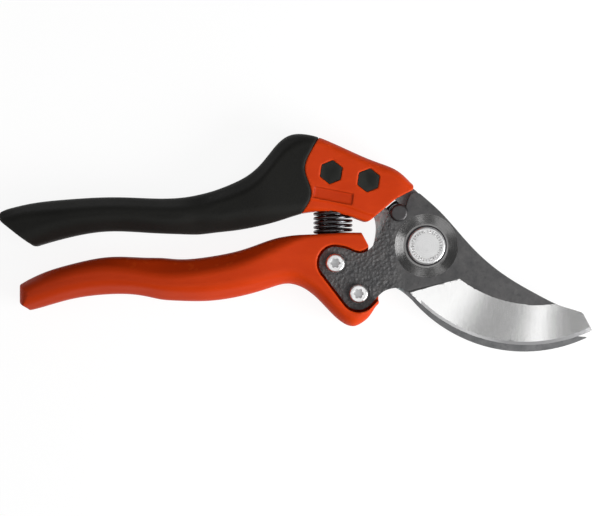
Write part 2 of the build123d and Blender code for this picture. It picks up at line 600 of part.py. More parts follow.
def make_lock_plate():
    """The plate round the pivot nut that keeps it from turning."""
    z = COUNTER_Z - LOCK_PLATE_T
    plate = rod((0, 0), LOCK_PLATE_R, z, COUNTER_Z) + rod(LOCK_SCREW_AT, LOCK_PLATE_EAR_R, z, COUNTER_Z)
    plate -= hexagon((0, 0), NUT_FLATS + 2 * HOLE_PLAY, 0, TALL, HEX_TURN)
    return plate - rod(LOCK_SCREW_AT, LOCK_SCREW_R + HOLE_PLAY, 0, TALL)


def lobed_socket(point, radius, z_low, z_high):
    """A screw's six-lobed socket."""
    lobe_share = 0.28  # of the radius
    socket = rod(point, radius * 0.78, z_low, z_high)
    for i in range(LOBES):
        angle = 2 * math.pi * i / LOBES
        reach = radius * (1 - lobe_share)
        lobe = (point[0] + reach * math.cos(angle), point[1] + reach * math.sin(angle))
        socket += rod(lobe, radius * lobe_share, z_low, z_high)
    return socket


def make_lock_plate_screw():
    z = COUNTER_Z - LOCK_PLATE_T
    low = z - LOCK_SCREW_HEAD_T
    screw = rod(LOCK_SCREW_AT, LOCK_SCREW_HEAD_R, low, z)
    screw = chamfer(screw.edges().sort_by(Axis.Z)[0], END_CHAMFER)
    screw += rod(LOCK_SCREW_AT, LOCK_SCREW_R, z, LOCK_SCREW_END_Z)
    return screw - lobed_socket(LOCK_SCREW_AT, LOCK_SOCKET_R, low, low + LOCK_SOCKET_DEPTH)


def make_pivot_bush():
    top = BLADE_TOP - DISH_DEPTH
    return rod((0, 0), BUSH_R, BLADE_Z, top) - rod((0, 0), BOLT_R + RUNNING, 0, TALL)


def make_pivot_washer():
    z = BLADE_TOP - DISH_DEPTH
    return rod((0, 0), WASHER_R, z, z + WASHER_T) - rod((0, 0), BOLT_R + RUNNING, 0, TALL)


# ---------------------------------------------------------------- the moving side


def lug_pocket_outline():
    """Round the blade's lug with a gap, and open towards the pivot."""
    right, top, lines = lug_side(LUG_R + LUG_GAP)
    open_top, open_low = (0, 20), (0, right[1] - right[0])
    return [
        Spline(top, *LUG_POCKET_TOP, tangents=[(1, -0.1), (1, 1)]),
        Polyline(LUG_POCKET_TOP[-1], open_top, open_low, right),
        *lines,
    ]


def make_lower_handle(envelope):
    """The lower handle, with the pocket for the blade's lug open to the front."""
    handle = envelope - prism(lug_pocket_outline(), BLADE_Z, TALL)
    for point in BLADE_SCREWS_AT:
        handle -= rod(point, BLADE_SCREW_R + HOLE_PLAY, 0, TALL)
        handle -= hexagon(point, BLADE_NUT_FLATS + 2 * HOLE_PLAY, BELOW, BLADE_NUT_Z[1], HEX_TURN)
    return handle - spring_seat(SPRING_SEATS_OPEN[0], SPRING_Y[0])


def make_blade_screw(point):
    seat = BLADE_TOP - SPOT_DEPTH
    top = seat + BLADE_SCREW_HEAD_T
    head = rod(point, BLADE_SCREW_HEAD_R, seat, top)
    head = fillet(head.edges().sort_by(Axis.Z)[-1], BLADE_SCREW_ROUND)
    screw = head + rod(point, BLADE_SCREW_R, BLADE_SCREW_END_Z, seat)
    return screw - lobed_socket(point, BLADE_SOCKET_R, top - BLADE_SOCKET_DEPTH, TALL)


def make_blade_nut(point):
    nut = hexagon(point, BLADE_NUT_FLATS, *BLADE_NUT_Z, HEX_TURN)
    return nut - rod(point, BLADE_SCREW_R, 0, TALL)


# ---------------------------------------------------------------- spring


def make_spring():
    """A compression coil along Y, its ends closed up and ground flat."""
    low, high = SPRING_Y
    radius = SPRING_R - WIRE_R
    middle = high - low - 2 * (WIRE_FIRST + CLOSED_PITCH)
    turns = middle / SPRING_PITCH
    last = Rot(0, 0, 360 * (turns % 1)) * Helix(CLOSED_PITCH, CLOSED_PITCH, radius)
    coils = [
        Pos(0, 0, WIRE_FIRST) * Helix(CLOSED_PITCH, CLOSED_PITCH, radius),
        Pos(0, 0, WIRE_FIRST + CLOSED_PITCH) * Helix(SPRING_PITCH, middle, radius),
        Pos(0, 0, WIRE_FIRST + CLOSED_PITCH + middle) * last,
    ]
    path = Wire([coil.edge() for coil in coils])
    section = Plane(origin=path @ 0, z_dir=path % 0) * Circle(WIRE_R)
    wire = sweep(section, path=path, is_frenet=True)
    ground = Cylinder(2 * SPRING_R, high - low, align=(Align.CENTER, Align.CENTER, Align.MIN))
    return Plane(origin=(SPRING_X, low, SPRING_Z), z_dir=(0, 1, 0)) * (wire & ground)


# ---------------------------------------------------------------- lock


def make_lock_pin():
    """The pin whose shank stands in the blade's notch and whose domed head covers it."""
    point = (LOCK_AT.X, LOCK_AT.Y)
    head = rod(point, LOCK_HEAD_R, LOCK_HEAD_Z, LOCK_HEAD_Z + LOCK_HEAD_T)
    head = fillet(head.edges().sort_by(Axis.Z)[-1], LOCK_HEAD_ROUND)
    pin = head + rod(point, LOCK_SHANK_R, SLIDER_Z + SHANK_SEAT, LOCK_HEAD_Z)
    return pin - rod(point, LOCK_PIN_SCREW_R, 0, LOCK_PIN_SCREW_END_Z + HOLE_PAST)


def slider_top():
    return COUNTER_Z - WAVE_WASHER_T - RUNNING


def make_lock_slider():
    """The thumb piece behind the counter-blade, ribbed across its travel."""
    angle = math.degrees(math.atan2(LOCK_OUT.Y, LOCK_OUT.X))
    place = Pos(LOCK_AT.X, LOCK_AT.Y, SLIDER_Z) * Rot(0, 0, angle)
    outline = RectangleRounded(SLIDER_L, SLIDER_W, SLIDER_CORNER_R)
    body = place * extrude(outline, slider_top() - SLIDER_Z)
    for side in (-1, 1):
        for reach in SLIDER_RIBS:
            groove = Cylinder(SLIDER_GROOVE_R, SLIDER_W, rotation=(90, 0, 0))
            body -= place * Pos(side * reach, 0, 0) * groove
    point = (LOCK_AT.X, LOCK_AT.Y)
    body -= rod(point, LOCK_SHANK_R, SLIDER_Z + SHANK_SEAT, TALL)
    body -= rod(point, LOCK_PIN_SCREW_R + HOLE_PLAY, 0, TALL)
    return body - rod(point, LOCK_PIN_SCREW_HEAD_R + HOLE_PLAY, 0, SLIDER_Z + LOCK_PIN_SCREW_SEAT)


def make_lock_screw():
    point = (LOCK_AT.X, LOCK_AT.Y)
    seat = SLIDER_Z + LOCK_PIN_SCREW_SEAT
    screw = rod(point, LOCK_PIN_SCREW_HEAD_R, SLIDER_Z + HOLE_PLAY, seat)
    screw += rod(point, LOCK_PIN_SCREW_R, seat, LOCK_PIN_SCREW_END_Z)
    return screw - lobed_socket(point, LOCK_PIN_SOCKET_R, 0, SLIDER_Z + LOCK_PIN_SOCKET_DEPTH)


def make_wave_washer():
    point = (LOCK_AT.X, LOCK_AT.Y)
    top = slider_top() + WAVE_WASHER_T
    return rod(point, WAVE_WASHER_R, slider_top(), top) - rod(point, LOCK_SHANK_R + HOLE_PLAY, 0, TALL)


# ---------------------------------------------------------------- all of it


def group(make, places, *more):
    """Identical pieces as one node of separate solids."""
    return Compound(children=[make(place, *more) for place in places])


def main():
    upper = upper_envelope()
    core = handle_core()
    upper_handle = make_upper_handle(upper, core)
    nodes = {
        "upper_handle": upper_handle,
        "soft_grip": left_of_grip_edge(upper) - core,
        "counter_blade": make_counter_blade(),
        "tang_bolts": group(make_tang_bolt, TANG_BOLTS_AT),
        "tang_nuts": group(make_tang_nut, TANG_BOLTS_AT),
        "hex_plugs": group(make_hex_cap, TANG_BOLTS_AT, upper),
        "pivot_bolt": make_pivot_bolt(),
        "pivot_nut": make_pivot_nut(),
        "nut_lock_plate": make_lock_plate(),
        "lock_plate_screw": make_lock_plate_screw(),
        "spring": make_spring(),
        "catch_pin": make_lock_pin(),
        "catch_slider": make_lock_slider(),
        "catch_screw": make_lock_screw(),
        "catch_washer": make_wave_washer(),
        "lower_handle": make_lower_handle(lower_envelope()),
        "blade": make_blade(),
        "blade_screws": group(make_blade_screw, BLADE_SCREWS_AT),
        "blade_nuts": group(make_blade_nut, BLADE_SCREWS_AT),
        "pivot_bush": make_pivot_bush(),
        "pivot_washer": make_pivot_washer(),
    }
    os.makedirs("parts", exist_ok=True)
    for name, solid in nodes.items():
        export_step(solid, f"parts/{name}.step")


if __name__ == "__main__":
    main()
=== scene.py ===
"""How the bypass pruning shears look: finer meshes over the CAD pieces, finishes, light and camera.

Metres throughout; MM turns a length in millimetres into metres. Most places come from the CAD pieces
and their boxes; the rest are named values in the same frame, which has the pivot's axis at x = y = 0.
"""

import json
import math

import bmesh
import bpy
import numpy as np
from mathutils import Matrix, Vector

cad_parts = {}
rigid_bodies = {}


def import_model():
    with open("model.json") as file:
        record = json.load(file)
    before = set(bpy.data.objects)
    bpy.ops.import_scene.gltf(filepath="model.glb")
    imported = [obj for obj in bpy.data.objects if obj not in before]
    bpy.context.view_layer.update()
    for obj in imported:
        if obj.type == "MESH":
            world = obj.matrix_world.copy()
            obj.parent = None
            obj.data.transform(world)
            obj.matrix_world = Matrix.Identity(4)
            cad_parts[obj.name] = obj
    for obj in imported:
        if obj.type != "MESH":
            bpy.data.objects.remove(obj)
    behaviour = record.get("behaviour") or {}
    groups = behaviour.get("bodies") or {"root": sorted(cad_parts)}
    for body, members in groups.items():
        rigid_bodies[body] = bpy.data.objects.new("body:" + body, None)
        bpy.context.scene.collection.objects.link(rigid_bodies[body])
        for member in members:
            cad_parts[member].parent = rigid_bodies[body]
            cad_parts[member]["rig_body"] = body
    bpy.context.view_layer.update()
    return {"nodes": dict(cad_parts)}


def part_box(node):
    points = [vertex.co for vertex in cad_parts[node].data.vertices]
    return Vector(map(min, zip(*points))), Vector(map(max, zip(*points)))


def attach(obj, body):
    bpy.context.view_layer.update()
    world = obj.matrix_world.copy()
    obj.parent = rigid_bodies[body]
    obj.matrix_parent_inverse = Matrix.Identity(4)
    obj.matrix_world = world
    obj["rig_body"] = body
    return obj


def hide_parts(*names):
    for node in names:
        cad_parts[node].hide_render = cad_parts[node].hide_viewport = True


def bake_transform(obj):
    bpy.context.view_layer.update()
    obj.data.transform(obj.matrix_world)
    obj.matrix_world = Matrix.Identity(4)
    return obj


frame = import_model()

MM = 0.001
NODES = frame["nodes"]

SAME_PLACE = 1e-6  # corners closer than this are one
CUT_MERGE = 0.004 * MM  # the same, after a plate has been cut in squares
FLAT_DEGREES = 0.03  # faces that meet at less than this are one flat face
SHARP_DEGREES = 28.0  # edges that turn more than this get a rounding
CREASE_DEGREES = 6.0  # between two upward faces, edges that turn more than this stay crisp
UPWARD = 0.85  # how much of an upward face's normal is vertical
EASE_SEGMENTS = 2
SOFTEN = 0.5  # how far each smoothing round moves a corner towards its neighbours' middle
SQUARE = 1.5 * MM  # size of the squares that the plates' flat faces are cut in


# ---------------------------------------------------------------- mesh helpers


def link(obj):
    bpy.context.scene.collection.objects.link(obj)
    return obj


def cad_copy(node, name):
    """A free copy of a CAD piece's mesh, where the piece is."""
    return link(bpy.data.objects.new(name, NODES[node].data.copy()))


def apply_modifiers(obj):
    """Turns an object's modifiers into its mesh."""
    graph = bpy.context.evaluated_depsgraph_get()
    mesh = bpy.data.meshes.new_from_object(obj.evaluated_get(graph))
    obj.modifiers.clear()
    obj.data = mesh
    return obj


def stand_in(obj, node, slot, *materials):
    """obj replaces that CAD piece, rides on its body and takes its finish."""
    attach(obj, NODES[node]["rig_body"])
    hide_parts(node)
    obj.data.materials.clear()
    for material in materials:
        obj.data.materials.append(material)
    return obj


def moulded(node, name, voxel, rounds):
    """A moulded piece: the CAD shape remeshed evenly, with every edge softened as a mould leaves it."""
    obj = cad_copy(node, name)
    remesh = obj.modifiers.new("remesh", "REMESH")
    remesh.mode = "VOXEL"
    remesh.voxel_size = voxel
    soften = obj.modifiers.new("soften", "SMOOTH")
    soften.factor = SOFTEN
    soften.iterations = rounds
    apply_modifiers(obj)
    obj.data.polygons.foreach_set("use_smooth", [True] * len(obj.data.polygons))
    return obj


def cut_in_squares(obj, size):
    """Cuts large flat faces into squares, so that shading held by corners changes only near an edge."""
    bm = bmesh.new()
    bm.from_mesh(obj.data)
    for axis in (0, 1):
        places = [vert.co[axis] for vert in bm.verts]
        low, high = min(places), max(places)
        direction = Vector((axis == 0, axis == 1, 0))
        for i in range(1, math.ceil((high - low) / size)):
            everything = [*bm.verts, *bm.edges, *bm.faces]
            place = direction * (low + i * size)
            bmesh.ops.bisect_plane(bm, geom=everything, plane_co=place, plane_no=direction)
    bmesh.ops.remove_doubles(bm, verts=bm.verts, dist=CUT_MERGE)
    bm.to_mesh(obj.data)
    bm.free()


def eased(node, name, width, skip=None, squares=None):
    """A metal piece: the CAD shape with each sharp edge broken by a small rounding.

    skip says which edges stay sharp, from the place of their middle. Where two upward faces meet at a
    slight angle, as along a ground bevel, the line between them stays crisp.
    """
    obj = cad_copy(node, name)
    bm = bmesh.new()
    bm.from_mesh(obj.data)
    bmesh.ops.remove_doubles(bm, verts=bm.verts, dist=SAME_PLACE)
    flat = math.radians(FLAT_DEGREES)
    bmesh.ops.dissolve_limit(bm, angle_limit=flat, verts=bm.verts, edges=bm.edges)
    weights = bm.edges.layers.float.new("bevel_weight_edge")
    for edge in bm.edges:
        middle = (edge.verts[0].co + edge.verts[1].co) / 2
        angle = math.degrees(edge.calc_face_angle(0)) if edge.is_manifold else 0.0
        sharp = angle > SHARP_DEGREES
        rounded = sharp and not (skip and skip(middle))
        edge[weights] = 1.0 if rounded else 0.0
        both_up = all(face.normal.z > UPWARD for face in edge.link_faces)
        edge.smooth = rounded or not (sharp or (both_up and angle > CREASE_DEGREES))
    bm.to_mesh(obj.data)
    bm.free()
    ease = obj.modifiers.new("ease", "BEVEL")
    ease.width = width
    ease.segments = EASE_SEGMENTS
    ease.limit_method = "WEIGHT"
    ease.miter_outer = "MITER_ARC"
    apply_modifiers(obj)
    if squares:
        cut_in_squares(obj, squares)
    obj.data.polygons.foreach_set("use_smooth", [True] * len(obj.data.polygons))
    flatten = obj.modifiers.new("flatten", "WEIGHTED_NORMAL")
    flatten.mode = "FACE_AREA"
    flatten.weight = 100
    flatten.keep_sharp = True
    apply_modifiers(obj)
    return obj


# ---------------------------------------------------------------- material helpers


class Finish:
    """A node material, built by short calls that return sockets."""

    def __init__(self, name):
        self.material = bpy.data.materials.new(name)
        self.material.use_nodes = True
        self.tree = self.material.node_tree
        self.tree.nodes.clear()
        self.place = self.add("ShaderNodeTexCoord").outputs["Object"]

    def add(self, kind, inputs=None, **settings):
        node = self.tree.nodes.new(kind)
        for key, value in settings.items():
            setattr(node, key, value)
        for key, value in (inputs or {}).items():
            if isinstance(value, bpy.types.NodeSocket):
                self.tree.links.new(value, node.inputs[key])
            else:
                node.inputs[key].default_value = value
        return node

    def noise(self, scale, detail=3.0, roughness=0.5, place=None, distortion=0.0):
        """Noise from 0 to 1, at so many lumps per metre."""
        inputs = {
            "Vector": place or self.place,
            "Scale": scale,
            "Detail": detail,
            "Roughness": roughness,
            "Distortion": distortion,
        }
        return self.add("ShaderNodeTexNoise", inputs).outputs["Fac"]

    def stretched(self, scale):
        """The place, scaled by a different amount along each axis."""
        return self.add("ShaderNodeMapping", {"Vector": self.place, "Scale": scale}).outputs["Vector"]

    def ramp(self, fac, low, high, from_low=0.0, from_high=1.0):
        """A value that runs from low to high as fac runs between two limits."""
        inputs = {
            "Value": fac,
            "From Min": from_low,
            "From Max": from_high,
            "To Min": low,
            "To Max": high,
        }
        return self.add("ShaderNodeMapRange", inputs).outputs["Result"]

    def mix(self, fac, a, b):
        node = self.tree.nodes.new("ShaderNodeMix")
        node.data_type = "RGBA"
        for index, value in ((0, fac), (6, a), (7, b)):
            if isinstance(value, bpy.types.NodeSocket):
                self.tree.links.new(value, node.inputs[index])
            elif index == 0:
                node.inputs[index].default_value = value
            else:
                node.inputs[index].default_value = (*value, 1.0)
        return node.outputs[2]

    def math(self, operation, a, b=0.0, c=0.0):
        return self.add("ShaderNodeMath", {0: a, 1: b, 2: c}, operation=operation).outputs[0]

    def bump(self, height, distance, strength=1.0, normal=None):
        inputs = {"Height": height, "Distance": distance, "Strength": strength}
        if normal is not None:
            inputs["Normal"] = normal
        return self.add("ShaderNodeBump", inputs).outputs["Normal"]

    def edges(self, low=0.5, high=0.56):
        """1 on outward edges, from how sharply the surface turns."""
        pointiness = self.add("ShaderNodeNewGeometry").outputs["Pointiness"]
        return self.ramp(pointiness, 0.0, 1.0, low, high)

    def along(self, axis):
        """The place along one axis: 0 for X, 1 for Y and 2 for Z."""
        return self.add("ShaderNodeSeparateXYZ", {0: self.place}).outputs[axis]

    def around_pivot(self):
        """Distance from the pivot's axis."""
        x, y = self.along(0), self.along(1)
        squares = self.math("MULTIPLY_ADD", x, x, self.math("MULTIPLY", y, y))
        return self.math("SQRT", squares)

    def band(self, value, low, high):
        """1 where the value lies between two limits."""
        middle, half = (low + high) / 2, (high - low) / 2
        return self.add("ShaderNodeMath", {0: value, 1: middle, 2: half}, operation="COMPARE").outputs[0]

    def past_rectangle(self, centre, half, turn):
        """How far outside a turned rectangle of the XY plane a point lies, and below 0 inside it."""
        inputs = {"Vector": self.place, "Location": (*centre, 0), "Rotation": (0, 0, turn)}
        local = self.add("ShaderNodeMapping", inputs, vector_type="TEXTURE").outputs["Vector"]
        parts = self.add("ShaderNodeSeparateXYZ", {0: local}).outputs
        past = [self.math("SUBTRACT", self.math("ABSOLUTE", parts[i]), half[i]) for i in (0, 1)]
        return self.math("MAXIMUM", *past)

    def ticks(self, count):
        """Marks round the pivot's axis, each broken up by noise."""
        turn = self.math("ARCTAN2", self.along(1), self.along(0))
        wave = self.math("SINE", self.math("MULTIPLY", turn, float(count)))
        marks = self.ramp(wave, 0.0, 1.0, -0.1, 0.3)
        broken = self.ramp(self.noise(1500), 0.0, 1.0, 0.4, 0.5)
        return self.math("MULTIPLY", marks, broken)

    def done(self, **inputs):
        """Closes the material with a principled surface of these inputs."""
        named = {key.replace("_", " "): value for key, value in inputs.items()}
        surface = self.add("ShaderNodeBsdfPrincipled", named)
        output = self.add("ShaderNodeOutputMaterial")
        self.tree.links.new(surface.outputs[0], output.inputs["Surface"])
        return self.material


def rgb(r, g, b):
    """A colour as seen on a screen, 0 to 255, as the linear values that a shader takes."""
    return tuple((c / 255 / 12.92) if c < 10 else ((c / 255 + 0.055) / 1.055) ** 2.4 for c in (r, g, b))


def shade(colour, share):
    """A colour made darker or lighter, up to white."""
    return tuple(min(1.0, c * share) for c in colour)


HANDLE_PAINTED_SHADE = (-150 * MM, -78 * MM)  # the stretch over which painted shade darkens it towards its end, where the light falls off
PANEL_AT = (-34.9 * MM, 18.55 * MM)  # middle of the head's sunk panel
PANEL_HALF = (7.4 * MM, 2.2 * MM)
PANEL_TURN = math.radians(-11)
PANEL_SOFT = 0.1 * MM  # how far its darker colour fades out across its outline
PANEL_SHADE_LINE = 0.3 * MM  # how far the line of painted shade round its groove reaches inside its outline
FRONT_Z = 12 * MM  # the sunk panel is in front of this height
ROUGH_NECK = (-13 * MM, -8 * MM)  # over this stretch the rugged relief and the neck's painted light fade out
EDGE_DARKENS = (16 * MM, 30 * MM)  # the stretch over which the honed edge turns darker to its tip
GRIND_TURN = math.atan2(0.25, 1.0)  # rotation of the noise that draws the grinding lines
RING_SCALE = 6000.0  # turned rings for each metre from the pivot's axis
HEAD_MARKS = (4.7 * MM, 5.9 * MM)  # the punched marks lie between these radii
HEAD_MARK_COUNT = 34


def nylon(name, panel=False):
    """Orange glass-filled nylon: satin, with faint flow marks and a fine moulded grain.

    It is painted darker towards the handle's end: painted shade for light that falls off there. The
    head's sunk panel is darker too, with a line of painted shade round its groove.
    """
    f = Finish(name)
    flow = f.noise(1.0, 4.0, 0.6, f.stretched((55, 160, 160)), 0.6)
    speckle = f.noise(2600, 2.0)
    colour = f.mix(f.ramp(flow, 0.0, 1.0, 0.3, 0.7), rgb(195, 53, 2), rgb(204, 59, 5))
    colour = f.mix(f.ramp(speckle, 0.0, 0.12, 0.45, 0.8), colour, rgb(160, 36, 2))
    colour = f.mix(f.math("MULTIPLY", f.edges(), 0.3), colour, rgb(226, 84, 24))
    # painted shade: darker towards the handle's end, where the light falls off
    colour = f.mix(f.ramp(f.along(0), 1.0, 0.0, *HANDLE_PAINTED_SHADE), colour, rgb(172, 47, 2))
    if panel:
        past = f.past_rectangle(PANEL_AT, PANEL_HALF, PANEL_TURN)
        front = f.ramp(f.along(2), 0.0, 1.0, FRONT_Z, FRONT_Z + MM)
        inside = f.math("MULTIPLY", f.ramp(past, 1.0, 0.0, -PANEL_SOFT, PANEL_SOFT), front)
        # rim and line are a line of painted shade along the panel's groove
        rim = f.math("MULTIPLY", f.band(past, -PANEL_SHADE_LINE, PANEL_SOFT), front)
        line = f.math("MULTIPLY", rim, f.ramp(f.noise(500), 0.25, 0.65))
        colour = f.mix(f.math("MULTIPLY", inside, 0.3), colour, rgb(158, 38, 2))
        colour = f.mix(line, colour, rgb(118, 26, 0))
    rough = f.ramp(f.noise(320, 4.0), 0.4, 0.55)
    grain = f.bump(f.noise(3200, 2.0, 0.6), 0.00004, 0.5)
    relief = f.bump(flow, 0.00025, 0.25, grain)
    return f.done(Base_Color=colour, Roughness=rough, Normal=relief, Specular_IOR_Level=0.14)


def elastomer(name):
    """Black soft elastomer: matte, finely grained, greyer along its edges."""
    f = Finish(name)
    cloud = f.noise(45, 4.0, 0.55)
    colour = f.mix(f.ramp(cloud, 0.0, 1.0, 0.3, 0.7), rgb(23, 23, 21), rgb(30, 30, 28))
    colour = f.mix(f.math("MULTIPLY", f.edges(0.5, 0.53), 0.5), colour, rgb(48, 48, 46))
    cells = f.add("ShaderNodeTexVoronoi", {"Vector": f.place, "Scale": 1900.0}).outputs["Distance"]
    rough = f.ramp(cloud, 0.55, 0.7, 0.3, 0.7)
    grain = f.bump(cells, 0.00006, 0.55)
    relief = f.bump(f.noise(420, 3.0), 0.0001, 0.3, grain)
    return f.done(
        Base_Color=colour, Roughness=rough, Normal=relief, Specular_IOR_Level=0.14, Sheen_Weight=0.01
    )


def black_plastic(name):
    """Moulded black plastic: fine matte grain, a little grey along its edges."""
    f = Finish(name)
    cloud = f.noise(150, 3.0)
    colour = f.mix(cloud, rgb(15, 17, 14), rgb(22, 24, 20))
    colour = f.mix(f.math("MULTIPLY", f.edges(), 0.5), colour, rgb(60, 62, 58))
    grain = f.bump(f.noise(2400, 2.0), 0.00005, 0.5)
    return f.done(
        Base_Color=colour, Roughness=f.ramp(cloud, 0.4, 0.55), Normal=grain, Specular_IOR_Level=0.2
    )


def oxide_steel(name, dark, light, painted_neck_light=None):
    """Forged steel under dark oxide: mottled, slightly pitted, and rugged on the handles' side.

    painted_neck_light is painted light by the handles' heads: a lighter colour, and a cooler one that
    offsets the orange the handles reflect there.
    """
    f = Finish(name)
    mottle = f.noise(260, 5.0, 0.6)
    pits = f.noise(900, 4.0, 0.65)
    colour = f.mix(f.ramp(mottle, 0.0, 1.0, 0.32, 0.68), dark, light)
    colour = f.mix(f.ramp(pits, 0.0, 0.5, 0.55, 0.75), colour, rgb(52, 52, 54))
    rough = f.ramp(mottle, 0.4, 0.6)
    neck_relief_and_painted_light = f.ramp(f.along(0), 1.0, 0.0, *ROUGH_NECK)
    # painted light by the handles' heads: lighter, and cooler against the orange they reflect
    if painted_neck_light:
        colour = f.mix(neck_relief_and_painted_light, colour, painted_neck_light)
    lumps = f.add("ShaderNodeTexVoronoi", {"Vector": f.place, "Scale": 750.0}).outputs["Distance"]
    rugged = f.math("MULTIPLY", f.math("ADD", lumps, pits), neck_relief_and_painted_light)
    relief = f.bump(pits, 0.00012, 0.4, f.bump(rugged, 0.0005, 0.55))
    return f.done(Base_Color=colour, Roughness=rough, Metallic=0.75, Normal=relief)


def ground_steel(name, dark, light, metallic=1.0, towards_tip=None):
    """Ground steel, with fine straight grinding lines across the edge.

    towards_tip is a darker colour that it turns to along the edge.
    """
    f = Finish(name)
    lines = f.add(
        "ShaderNodeMapping",
        {"Vector": f.place, "Rotation": (0, 0, GRIND_TURN), "Scale": (9000, 260, 260)},
    ).outputs["Vector"]
    scratch = f.noise(1.0, 3.0, 0.6, lines)
    cloud = f.noise(70, 3.0)
    colour = f.mix(f.ramp(scratch, 0.0, 1.0, 0.3, 0.7), dark, light)
    colour = f.mix(f.ramp(cloud, 0.0, 0.15, 0.45, 0.75), colour, shade(dark, 0.8))
    if towards_tip:
        colour = f.mix(f.ramp(f.along(0), 0.0, 1.0, *EDGE_DARKENS), colour, towards_tip)
    rough = f.ramp(scratch, 0.13, 0.2)
    relief = f.bump(scratch, 0.000003, 0.5)
    return f.done(Base_Color=colour, Roughness=rough, Metallic=metallic, Normal=relief)


def turned_steel(name, dark, light, roughness, anisotropy=0.0, marks=False):
    """Steel turned on a lathe: rings round the pivot's axis.

    A head also has a ring of small punched marks near its rim.
    """
    f = Finish(name)
    reach = f.around_pivot()
    ring_place = f.add("ShaderNodeCombineXYZ", {0: f.math("MULTIPLY", reach, RING_SCALE)}).outputs[0]
    rings = f.noise(1.0, 2.0, 0.6, ring_place)
    cloud = f.noise(400, 3.0)
    colour = f.mix(f.ramp(rings, 0.0, 1.0, 0.3, 0.7), dark, light)
    colour = f.mix(f.ramp(cloud, 0.0, 0.3, 0.5, 0.8), colour, shade(dark, 0.6))
    tangent = f.add("ShaderNodeTangent", direction_type="RADIAL", axis="Z").outputs[0]
    relief = f.bump(rings, 0.00002, 0.7)
    if marks:
        punched = f.math("MULTIPLY", f.band(reach, *HEAD_MARKS), f.ticks(HEAD_MARK_COUNT))
        colour = f.mix(f.math("MULTIPLY", punched, 0.3), colour, rgb(120, 120, 120))
        relief = f.bump(punched, -0.0002, 0.8, relief)
    return f.done(
        Base_Color=colour,
        Roughness=f.ramp(rings, *roughness),
        Metallic=1.0,
        Normal=relief,
        Anisotropic=anisotropy,
        Anisotropic_Rotation=0.25,
        Tangent=tangent,
    )


def plated_steel(name, tint, roughness=(0.22, 0.4)):
    """Plain metal, plated, blackened or bronze: faintly clouded, brighter along its edges."""
    f = Finish(name)
    cloud = f.noise(700, 4.0)
    fine = f.noise(3500, 2.0)
    colour = f.mix(f.ramp(cloud, 0.0, 1.0, 0.3, 0.7), tint, shade(tint, 1.25))
    colour = f.mix(f.math("MULTIPLY", f.edges(), 0.6), colour, shade(tint, 1.5))
    relief = f.bump(fine, 0.00002, 0.5)
    return f.done(Base_Color=colour, Roughness=f.ramp(cloud, *roughness), Metallic=1.0, Normal=relief)


ORANGE = nylon("orange_nylon")
ORANGE_HEAD = nylon("orange_nylon_head", panel=True)
BLACK_GRIP = elastomer("black_elastomer")
BLACK_PLASTIC = black_plastic("black_plastic")
OXIDE = oxide_steel("forged_steel", rgb(77, 77, 78), rgb(94, 93, 93))
# the third colour is painted light by the handles' heads
COUNTER = oxide_steel("counter_steel", rgb(96, 97, 98), rgb(116, 116, 117), rgb(184, 200, 202))
# painted shade: the small roundings along the plates' edges are darker, as edges turned away from the
# light look
PAINTED_SHADE_RIM = oxide_steel("painted_shade_rim", rgb(50, 50, 51), rgb(62, 62, 62))
GROUND = ground_steel("ground_bevel", rgb(222, 222, 222), rgb(238, 238, 237))
EDGE = ground_steel("honed_edge", rgb(236, 236, 237), rgb(250, 250, 250), 0.5, rgb(170, 170, 171))
DISH = turned_steel("turned_dish", rgb(84, 84, 85), rgb(150, 149, 148), (0.14, 0.22), anisotropy=0.75)
BRIGHT = plated_steel("bright_steel", rgb(214, 214, 214))
SOCKET = plated_steel("socket_steel", rgb(192, 192, 193), (0.4, 0.55))
ZINC = plated_steel("zinc_steel", rgb(170, 171, 172), (0.3, 0.5))
HEAD = turned_steel("turned_head", rgb(208, 208, 208), rgb(232, 232, 232), (0.25, 0.4), marks=True)
SPRING = plated_steel("spring_steel", rgb(84, 84, 87), (0.12, 0.2))
BLACK_OXIDE = plated_steel("black_oxide_steel", rgb(46, 44, 46), (0.22, 0.4))
PIN = plated_steel("pin_steel", rgb(77, 76, 77), (0.42, 0.55))
BRONZE = plated_steel("bronze", rgb(176, 140, 86), (0.35, 0.5))

# The pieces that are mostly hidden keep their CAD meshes and only take a finish.
for node, material in {
    "tang_bolts": ZINC,
    "tang_nuts": ZINC,
    "pivot_nut": ZINC,
    "nut_lock_plate": ZINC,
    "lock_plate_screw": ZINC,
    "catch_screw": ZINC,
    "catch_washer": SPRING,
    "blade_nuts": ZINC,
    "pivot_bush": BRONZE,
    "pivot_washer": BLACK_OXIDE,
}.items():
    NODES[node].data.materials.clear()
    NODES[node].data.materials.append(material)


# ---------------------------------------------------------------- handles and grip

upper = moulded("upper_handle", "upper_handle_shell", 0.34 * MM, 3)
stand_in(upper, "upper_handle", "orange_nylon", ORANGE_HEAD)

lower = moulded("lower_handle", "lower_handle_shell", 0.4 * MM, 2)
stand_in(lower, "lower_handle", "orange_nylon", ORANGE)

grip = moulded("soft_grip", "soft_grip_skin", 0.5 * MM, 6)
stand_in(grip, "soft_grip", "black_elastomer", BLACK_GRIP)

# ---------------------------------------------------------------- plates

